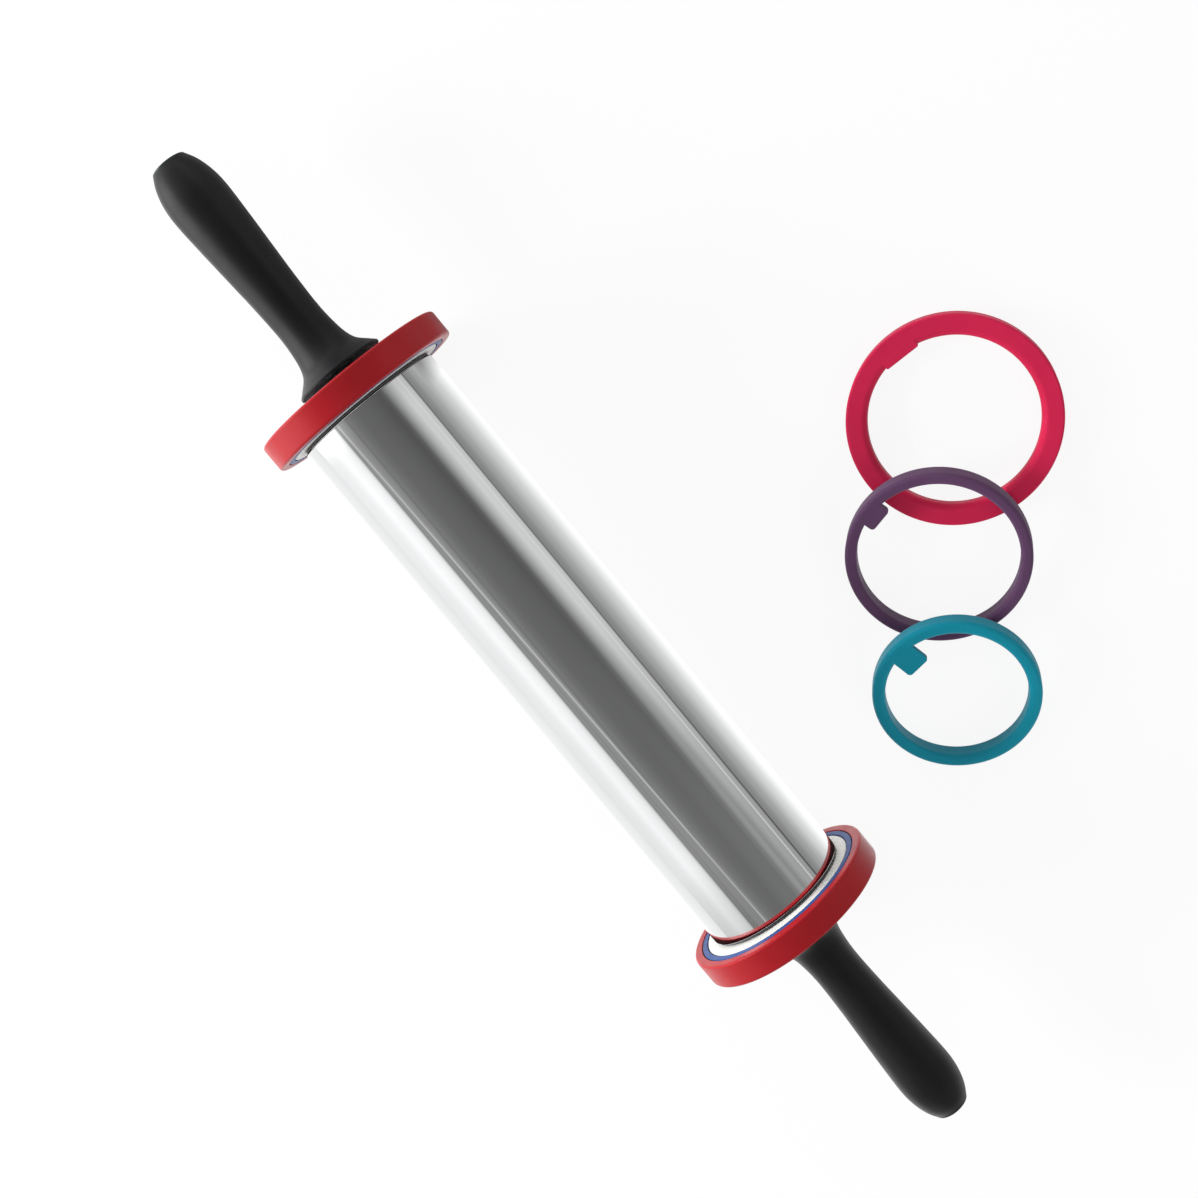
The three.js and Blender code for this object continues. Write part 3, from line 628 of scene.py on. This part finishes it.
def plug_mesh():
    """The end plug: a stem in the grip under a dome that stands as low as the photograph's."""
    outline = section("right_end_plug")
    if outline[0][1] > outline[-1][1]:
        outline.reverse()
    rim = max(range(len(outline)), key=lambda i: outline[i][0])
    foot = outline[rim][1]
    seat = max(place for radius, place in section("right_handle_grip")) + PLUG_SEAT_GAP
    dome = [(radius, foot + (place - foot) * PLUG_DOME_SHARE) for radius, place in outline[rim:]]
    dome[0] = (dome[0][0] - PLUG_RIM_INSET, seat)
    return revolve(outline[:rim] + curve(dome, PLUG_CURVE_STEPS), SMALL_SEGMENTS, "plug")


def turned_mesh(node, rounding):
    """A small turned piece as its solid is, with its corners rounded."""
    outline = [(*point, rounding) for point in section(node)]
    return revolve(fillet(outline, SMALL_FILLET_STEPS), SMALL_SEGMENTS, node)


def ball_centre(node):
    """The middle of a ball's solid, from the pin's middle, in millimetres."""
    places = [vertex.co for vertex in corners(node)]
    return (sum(places, Vector()) / len(places) - PIN) / MM


def race_mesh(node, pitch, place, groove):
    """A bearing ring with a round groove for the balls, turned towards the circle of their centres."""
    low = place - BEARING_HALF_WIDTH
    high = place + BEARING_HALF_WIDTH
    radii = sorted(station(vertex)[0] for vertex in corners(node))
    outside = radii[0] > pitch
    back = radii[-1] if outside else radii[0]
    shoulder = radii[0] if outside else max(r for r in radii if r < pitch)
    lean = math.acos(abs(shoulder - pitch) / groove)
    toward = 1 if outside else -1
    outline = [(back, low, RACE_ROUNDING), (shoulder, low, RACE_SHOULDER_ROUNDING)]
    for k in range(GROOVE_STEPS + 1):
        angle = lean * (2 * k / GROOVE_STEPS - 1)
        outline.append((pitch + toward * groove * math.cos(angle), place + groove * math.sin(angle)))
    outline += [(shoulder, high, RACE_SHOULDER_ROUNDING), (back, high, RACE_ROUNDING)]
    return revolve(fillet(outline, SMALL_FILLET_STEPS), SMALL_SEGMENTS, node)


def bearing(side):
    """The rings of a bearing with its balls between them, each in its solid's place."""
    balls = [f"{side}_ball_{i}" for i in range(1, BALL_COUNT + 1)]
    centre = ball_centre(balls[0])
    pitch = math.hypot(centre.y, centre.z)
    radius = max(((vertex.co - PIN) / MM - centre).length for vertex in corners(balls[0]))
    for kind, body in (("outer", "barrel"), ("inner", "axle")):
        node = f"{side}_bearing_{kind}_ring"
        mesh = race_mesh(node, pitch, abs(centre.x), radius + RACE_CLEARANCE)
        piece(f"{side}_{kind}_race", mesh, end_matrix(side), body, "bearing_steel", node)
    form = bmesh.new()
    for node in balls:
        moved = Matrix.Translation(PIN + ball_centre(node) * MM)
        bmesh.ops.create_icosphere(form, subdivisions=BALL_SUBDIVISIONS, radius=radius * MM, matrix=moved)
    mesh = to_mesh(form, side + "_balls")
    piece(side + "_ball_set", mesh, Matrix.Identity(4), side + "_balls", "polished_steel", *balls)


def pin_ring(side, sizes):
    """A ring on the pin, with its tab and the notch for the tab of the ring that it carries."""
    low = ring_span.start
    high = ring_span.end
    mesh = ring(sizes.bore, sizes.radius, low, high, sizes.bore_rounding, sizes.rounding)
    lug = tab(sizes.bore, TAB_REACH[sizes.name], sizes.bore + sizes.root_depth, high)
    mesh = combine(mesh, lug, "UNION")
    if sizes.carried:
        mesh = combine(mesh, notch(sizes.carried, high), "DIFFERENCE")
    body = side + "_" + sizes.name
    made = piece(body, mesh, end_matrix(side), body, sizes.name + "_plastic", body + "_ring")
    # The steel in the photograph mirrors the red ring alone
    made.visible_glossy = sizes.name == "red"


def pin_end(side):
    """The hub, the rings and the handle at one end of the pin."""
    place = end_matrix(side)
    piece(side + "_hub", hub_mesh(), place, "barrel", "hub_plastic", side + "_end_hub")
    cover = turned_mesh("right_bearing_cover", COVER_ROUNDING)
    piece(side + "_cover", cover, place, "barrel", "core_plastic", side + "_bearing_cover")
    for sizes in PIN_RINGS:
        pin_ring(side, sizes)
    spacer = turned_mesh("right_spacer_sleeve", SPACER_ROUNDING)
    piece(side + "_spacer", spacer, place, "axle", "axle_steel", side + "_spacer_sleeve")
    core = turned_mesh("right_handle_core", CORE_ROUNDING)
    piece(side + "_core", core, place, "axle", "core_plastic", side + "_handle_core")
    piece(side + "_grip", grip_mesh(), place, "axle", "soft_black", side + "_handle_grip")
    piece(side + "_plug", plug_mesh(), place, "axle", "plug_green", side + "_end_plug")


barrel()
for side in ("left", "right"):
    pin_end(side)
    bearing(side)


# The loose rings: their sizes and their edges' roundings in millimetres, and where their tabs point
LooseRing = namedtuple("LooseRing", "name radius wall edge inner_edge tab_width tab_reach tab_degrees")
LOOSE_RINGS = (
    LooseRing(
        "crimson",
        radius=37.0,
        wall=7.5,
        edge=0.9,
        inner_edge=2.4,
        tab_width=13.3,
        tab_reach=1.3,
        tab_degrees=180.5,
    ),
    LooseRing(
        "purple",
        radius=32.5,
        wall=4.2,
        edge=1.5,
        inner_edge=1.5,
        tab_width=9.6,
        tab_reach=3.9,
        tab_degrees=195.5,
    ),
    LooseRing(
        "teal",
        radius=30.0,
        wall=4.7,
        edge=1.7,
        inner_edge=1.7,
        tab_width=9.6,
        tab_reach=7.6,
        tab_degrees=190.9,
    ),
)
# How far up a face looks to count as upper, and to how many digits the normals of one flat face agree
UPWARD = 0.5
NORMAL_DIGITS = 2


def upper_face(node):
    """The direction that a loose ring's flat upper face looks in, from its solid."""
    areas = {}
    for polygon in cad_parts[node].data.polygons:
        if polygon.normal.z > UPWARD:
            key = tuple(round(c, NORMAL_DIGITS) for c in polygon.normal)
            area, total = areas.get(key, (0.0, Vector((0, 0, 0))))
            areas[key] = (area + polygon.area, total + polygon.normal * polygon.area)
    return max(areas.values(), key=lambda found: found[0])[1].normalized()


def loose_ring(sizes):
    """A loose ring lying or leaning where its solid does, with its tab flush with its upper face."""
    body = "loose_" + sizes.name
    node = body + "_ring"
    low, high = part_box(node)
    up = upper_face(node)
    outer = sizes.radius * flat_share
    bore = (sizes.radius - sizes.wall) * flat_share
    mesh = ring(bore, outer, 0.0, LOOSE_WIDTH, sizes.inner_edge, sizes.edge)
    root = (bore + outer) / 2
    azimuth = math.radians(sizes.tab_degrees)
    lug = tab(bore, sizes.tab_reach, root, LOOSE_WIDTH, sizes.tab_width, azimuth)
    mesh = combine(mesh, lug, "UNION")
    mesh.transform(Vector((0, 0, 1)).rotation_difference(up).to_matrix().to_4x4())
    under = (low + high) / 2 - up * (LOOSE_WIDTH * MM / 2)
    under.z = -min(v.co.z for v in mesh.vertices)
    made = piece(body, mesh, Matrix.Translation(under), body, sizes.name + "_plastic", node)
    made.visible_glossy = False


for sizes in LOOSE_RINGS:
    loose_ring(sizes)


# The inner solids keep their shapes
INNER = {
    "axle_rod": "axle_steel",
    "axle_clip": "bearing_steel",
    "handle_washer": "bearing_steel",
    "handle_nut": "axle_steel",
    "ball_cage": "cage_plastic",
}
for node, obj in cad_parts.items():
    for kind, finish in INNER.items():
        if node.endswith(kind):
            obj.data.materials.clear()
            obj.data.materials.append(FINISHES[finish])


# The camera, from the photograph's perspective: its place in metres, its lens and sensor in millimetres
RIGHT = Vector((0.63403782, 0.74740631, -0.19844358))
UP = Vector((-0.76613126, 0.57225715, -0.29251435))
EYE = Vector((-0.070283, 0.212297 + PIN.y, 0.570991))
LENS = 48.8
SENSOR = 36.0
NEAR = 0.02
FAR = 20.0

camera_data = bpy.data.cameras.new("camera")
camera_data.sensor_width = SENSOR
camera_data.sensor_fit = "HORIZONTAL"
camera_data.lens = LENS
camera_data.clip_start = NEAR
camera_data.clip_end = FAR
camera = bpy.data.objects.new("camera", camera_data)
bpy.context.collection.objects.link(camera)
facing = Matrix((RIGHT, UP, RIGHT.cross(UP))).transposed().to_4x4()
camera.matrix_world = Matrix.Translation(EYE) @ facing
bpy.context.scene.camera = camera


# The studio: a pale room, and painted reflections that gloss alone sees, dark overhead and bright at the
# pin's far side
def calculated(nodes, links, operation, a, b):
    """A math node's result for a socket's value and another's, or for a socket's value and a number."""
    step = nodes.new("ShaderNodeMath")
    step.operation = operation
    links.new(a, step.inputs[0])
    if isinstance(b, float):
        step.inputs[1].default_value = b
    else:
        links.new(b, step.inputs[1])
    return step.outputs[0]


def brightness(nodes, links, value, stops):
    """The brightness that (place, brightness) stops give for a value."""
    low = stops[0][0]
    high = stops[-1][0]
    peak = max(strength for place, strength in stops)
    scaled = nodes.new("ShaderNodeMapRange")
    scaled.inputs["From Min"].default_value = low
    scaled.inputs["From Max"].default_value = high
    links.new(value, scaled.inputs["Value"])
    ramp = nodes.new("ShaderNodeValToRGB")
    elements = ramp.color_ramp.elements
    while len(elements) < len(stops):
        elements.new(1.0)
    for element, (place, strength) in zip(elements, stops):
        element.position = (place - low) / (high - low)
    for element, (place, strength) in zip(elements, stops):
        element.color = (strength / peak, strength / peak, strength / peak, 1)
    links.new(scaled.outputs["Result"], ramp.inputs["Fac"])
    return calculated(nodes, links, "MULTIPLY", ramp.outputs["Color"], peak)


FLOOR_HALF_SIZE = 12.0
FLOOR_DROP = 0.0002
FLOOR_COLOR = (0.86, 0.86, 0.86, 1)
FLOOR_ROUGHNESS = 0.9
# The floor's painted reflection: how bright it glows to gloss alone, by its distance in metres from below the
# pin's axis, with a painted shadow just under the pin and dimmer further out at the +Y side
FLOOR_GLOW = (
    (-0.6, 1.02),
    (-0.12, 1.08),
    (-0.07, 1.25),
    (-0.052, 1.2),
    (-0.036, 0.85),
    (-0.012, 0.5),
    (0.004, 0.5),
    (0.016, 1.05),
    (0.024, 1.22),
    (0.035, 1.22),
    (0.07, 0.81),
    (0.11, 0.61),
    (0.16, 0.47),
    (0.32, 0.35),
    (0.6, 0.3),
)
# How that changes along the pin, in metres from its middle
FLOOR_SHARE = (
    (-0.6, 0.3),
    (-0.12, 0.3),
    (-0.108, 1.0),
    (0.02, 1.0),
    (0.08, 1.1),
    (0.13, 1.1),
    (0.17, 0.7),
    (0.6, 0.6),
)
# How much of that change counts, by the distance in metres from below the pin's axis
FLOOR_SHARE_BAND = ((-0.6, 0.0), (-0.02, 0.0), (0.0, 1.0), (0.08, 1.0), (0.14, 0.0), (0.6, 0.0))
# How much of the floor's look is plain white to the camera, by the distance in metres from the pin's middle
FLOOR_CAMERA_SHARE = ((0.0, 0.9), (0.35, 0.9), (0.95, 1.0), (2.0, 1.0))


def floor():
    """A pale floor that keeps a faint shadow near the pin and is white to the camera further out; to gloss
    alone it glows with a painted reflection.
    """
    form = bmesh.new()
    bmesh.ops.create_grid(form, x_segments=1, y_segments=1, size=FLOOR_HALF_SIZE)
    plane = bpy.data.objects.new("floor", to_mesh(form, "floor"))
    plane.location = (0, PIN.y, -FLOOR_DROP)
    bpy.context.collection.objects.link(plane)
    material, nodes, links, shader = new_material("floor_white")
    shader.inputs["Base Color"].default_value = FLOOR_COLOR
    shader.inputs["Roughness"].default_value = FLOOR_ROUGHNESS
    shader.inputs["Specular IOR Level"].default_value = 0.0
    path = nodes.new("ShaderNodeLightPath")
    here = nodes.new("ShaderNodeTexCoord").outputs["Object"]

    distance = nodes.new("ShaderNodeVectorMath")
    distance.operation = "LENGTH"
    links.new(here, distance.inputs[0])
    whiteness = brightness(nodes, links, distance.outputs["Value"], FLOOR_CAMERA_SHARE)
    seen = calculated(nodes, links, "MULTIPLY", path.outputs["Is Camera Ray"], whiteness)
    white = nodes.new("ShaderNodeEmission")
    camera_mix = nodes.new("ShaderNodeMixShader")
    links.new(seen, camera_mix.inputs["Fac"])
    links.new(shader.outputs["BSDF"], camera_mix.inputs[1])
    links.new(white.outputs["Emission"], camera_mix.inputs[2])

    # The painted reflection: a glow that gloss alone sees, with a painted shadow under the pin
    split = nodes.new("ShaderNodeSeparateXYZ")
    links.new(here, split.inputs["Vector"])
    across = brightness(nodes, links, split.outputs["Y"], FLOOR_GLOW)
    share = nodes.new("ShaderNodeMix")
    links.new(brightness(nodes, links, split.outputs["Y"], FLOOR_SHARE_BAND), share.inputs["Factor"])
    share.inputs["A"].default_value = 1.0
    links.new(brightness(nodes, links, split.outputs["X"], FLOOR_SHARE), share.inputs["B"])
    strength = calculated(nodes, links, "MULTIPLY", across, share.outputs["Result"])
    glow = nodes.new("ShaderNodeEmission")
    links.new(strength, glow.inputs["Strength"])
    gloss_mix = nodes.new("ShaderNodeMixShader")
    links.new(path.outputs["Is Glossy Ray"], gloss_mix.inputs["Fac"])
    links.new(camera_mix.outputs["Shader"], gloss_mix.inputs[1])
    links.new(glow.outputs["Emission"], gloss_mix.inputs[2])
    links.new(gloss_mix.outputs["Shader"], nodes["Material Output"].inputs["Surface"])
    plane.data.materials.append(material)


WORLD_LEVEL = 0.42


def room():
    """A white world, dimmer as a light than as a background."""
    world = bpy.data.worlds.new("room")
    bpy.context.scene.world = world
    world.use_nodes = True
    nodes = world.node_tree.nodes
    links = world.node_tree.links
    path = nodes.new("ShaderNodeLightPath")
    seen = calculated(nodes, links, "MAXIMUM", path.outputs["Is Camera Ray"], path.outputs["Is Glossy Ray"])
    seen = calculated(nodes, links, "MAXIMUM", seen, path.outputs["Is Transmission Ray"])
    level = nodes.new("ShaderNodeMapRange")
    level.inputs["To Min"].default_value = WORLD_LEVEL
    level.inputs["To Max"].default_value = 1.0
    links.new(seen, level.inputs["Value"])
    links.new(level.outputs["Result"], nodes["Background"].inputs["Strength"])
    nodes["Background"].inputs["Color"].default_value = (1, 1, 1, 1)


DRUM_RADIUS = 1.1
DRUM_HALF_LENGTH = 14.0
DRUM_STEPS = 90
DRUM_DEGREES = 180
# How bright the painted reflection glows, by degrees round the pin's axis from the +Y horizon
PAINTED_REFLECTION_GLOW = (
    (0, 0.24),
    (2.4, 0.17),
    (3.6, 0.66),
    (10, 0.74),
    (20, 0.77),
    (30, 0.52),
    (42, 0.15),
    (48, 0.115),
    (62, 0.14),
    (76, 0.155),
    (88, 0.165),
    (98, 0.20),
    (104, 0.24),
    (107, 0.21),
    (110, 0.30),
    (117, 0.34),
    (121, 0.30),
    (123.5, 0.37),
    (125.5, 0.27),
    (127, 0.4),
    (129.6, 0.94),
    (135, 1.1),
    (148, 1.22),
    (162, 1.06),
    (177, 1.03),
    (180, 0.96),
)
# A narrow painted reflection of a light that crosses the dark overhead, by degrees round the axis, and its
# slant in degrees per metre
STREAK_GLOW = ((112, 0.0), (115.4, 0.06), (116.6, 0.34), (117.6, 0.30), (118.4, 0.05), (121, 0.0))
STREAK_SLANT = 24.0
# A narrow painted reflection of a light along the pin at the +Y side
LINE_GLOW = ((9.6, 0.0), (10.8, 0.88), (11.6, 0.9), (12.8, 0.0))
# How the painted reflection's brightness changes along the pin at the +Y side, in metres from its middle
FAR_SIDE_SHARE = (
    (-1.8, 1.3),
    (-0.9, 1.3),
    (-0.45, 0.4),
    (-0.3, 0.4),
    (-0.17, 1.0),
    (0.1, 1.0),
    (0.36, 0.62),
    (0.8, 0.4),
)
# The same further round, each with the degrees over which it takes over from the one before
Share = namedtuple("Share", "start end stops")
OVERHEAD_SHARE = Share(
    start=30,
    end=44,
    stops=((-0.9, 3.5), (-0.45, 0.93), (-0.04, 0.93), (0.135, 1.12), (0.283, 1.45), (0.41, 1.8), (0.9, 1.9)),
)
MIDDLE_SHARE = Share(
    start=46,
    end=76,
    stops=((-0.9, 3.5), (-0.45, 1.0), (0.135, 1.0), (0.41, 1.1), (0.9, 1.1)),
)
NEAR_SIDE_SHARE = Share(
    start=104,
    end=124,
    stops=(
        (-1.8, 1.2),
        (-0.9, 3.0),
        (-0.3, 2.8),
        (-0.17, 1.05),
        (0.38, 0.95),
        (0.6, 0.35),
        (0.9, 0.3),
        (1.8, 0.6),
    ),
)


def drum_shell():
    """A half drum round the pin's axis, its UV map the degrees round and the metres along."""
    form = bmesh.new()
    layer = form.loops.layers.uv.new("around")
    rows = []
    for i in range(DRUM_STEPS + 1):
        angle = math.pi * i / DRUM_STEPS
        y = PIN.y + DRUM_RADIUS * math.cos(angle)
        z = PIN.z + DRUM_RADIUS * math.sin(angle)
        rows.append([form.verts.new((x, y, z)) for x in (-DRUM_HALF_LENGTH, DRUM_HALF_LENGTH)])
    for i in range(DRUM_STEPS):
        face = form.faces.new((rows[i][0], rows[i][1], rows[i + 1][1], rows[i + 1][0]))
        for loop, step in zip(face.loops, (i, i, i + 1, i + 1)):
            loop[layer].uv = (DRUM_DEGREES * step / DRUM_STEPS, loop.vert.co.x)
    shell = bpy.data.objects.new("drum", to_mesh(form, "drum"))
    bpy.context.collection.objects.link(shell)
    shell.visible_camera = False
    shell.visible_diffuse = False
    shell.visible_shadow = False
    shell.visible_transmission = False
    return shell


def drum():
    """A painted reflection that gloss alone sees: a glowing half drum, no lamp, whose brightness changes
    round the pin and along it.
    """
    shell = drum_shell()
    material, nodes, links, shader = new_material("drum_glow")
    nodes.remove(shader)
    around = nodes.new("ShaderNodeUVMap")
    around.uv_map = "around"
    split = nodes.new("ShaderNodeSeparateXYZ")
    links.new(around.outputs["UV"], split.inputs["Vector"])
    degrees = split.outputs["X"]
    along = split.outputs["Y"]
    share = brightness(nodes, links, along, FAR_SIDE_SHARE)
    for place in (OVERHEAD_SHARE, MIDDLE_SHARE, NEAR_SIDE_SHARE):
        turned = nodes.new("ShaderNodeMapRange")
        turned.inputs["From Min"].default_value = place.start
        turned.inputs["From Max"].default_value = place.end
        links.new(degrees, turned.inputs["Value"])
        mix = nodes.new("ShaderNodeMix")
        links.new(turned.outputs["Result"], mix.inputs["Factor"])
        links.new(share, mix.inputs["A"])
        links.new(brightness(nodes, links, along, place.stops), mix.inputs["B"])
        share = mix.outputs["Result"]
    # The painted reflection's brightness round the pin, times its change along it
    painted_reflection = calculated(nodes, links, "MULTIPLY", brightness(nodes, links, degrees, PAINTED_REFLECTION_GLOW), share)
    slant = calculated(nodes, links, "MULTIPLY", along, STREAK_SLANT)
    slanted = calculated(nodes, links, "ADD", degrees, slant)
    streak = brightness(nodes, links, slanted, STREAK_GLOW)
    streaked = calculated(nodes, links, "ADD", painted_reflection, streak)
    line = brightness(nodes, links, degrees, LINE_GLOW)
    lined = calculated(nodes, links, "MAXIMUM", streaked, line)
    glow = nodes.new("ShaderNodeEmission")
    links.new(lined, glow.inputs["Strength"])
    links.new(glow.outputs["Emission"], nodes["Material Output"].inputs["Surface"])
    shell.data.materials.append(material)


Lamp = namedtuple("Lamp", "name place target size power")
LAMPS = (
    Lamp("key", place=(-0.75, -1.3, 0.58), target=(0.05, PIN.y, 0.02), size=0.7, power=36.0),
    Lamp("side", place=(-1.5, 0.3, 0.22), target=(0.05, PIN.y, 0.04), size=0.6, power=13.0),
    Lamp("fill", place=(1.3, 0.1, 0.7), target=(0, 0, 0.02), size=1.0, power=8.0),
)


def lamp(light):
    """A soft square lamp that gloss doesn't see."""
    data = bpy.data.lights.new(light.name, "AREA")
    data.shape = "SQUARE"
    data.size = light.size
    data.energy = light.power
    obj = bpy.data.objects.new(light.name, data)
    obj.location = light.place
    obj.rotation_euler = (Vector(light.target) - Vector(light.place)).to_track_quat("-Z", "Y").to_euler()
    obj.visible_glossy = False
    bpy.context.collection.objects.link(obj)


floor()
room()
drum()
for light in LAMPS:
    lamp(light)

bpy.context.scene.view_settings.view_transform = "Standard"
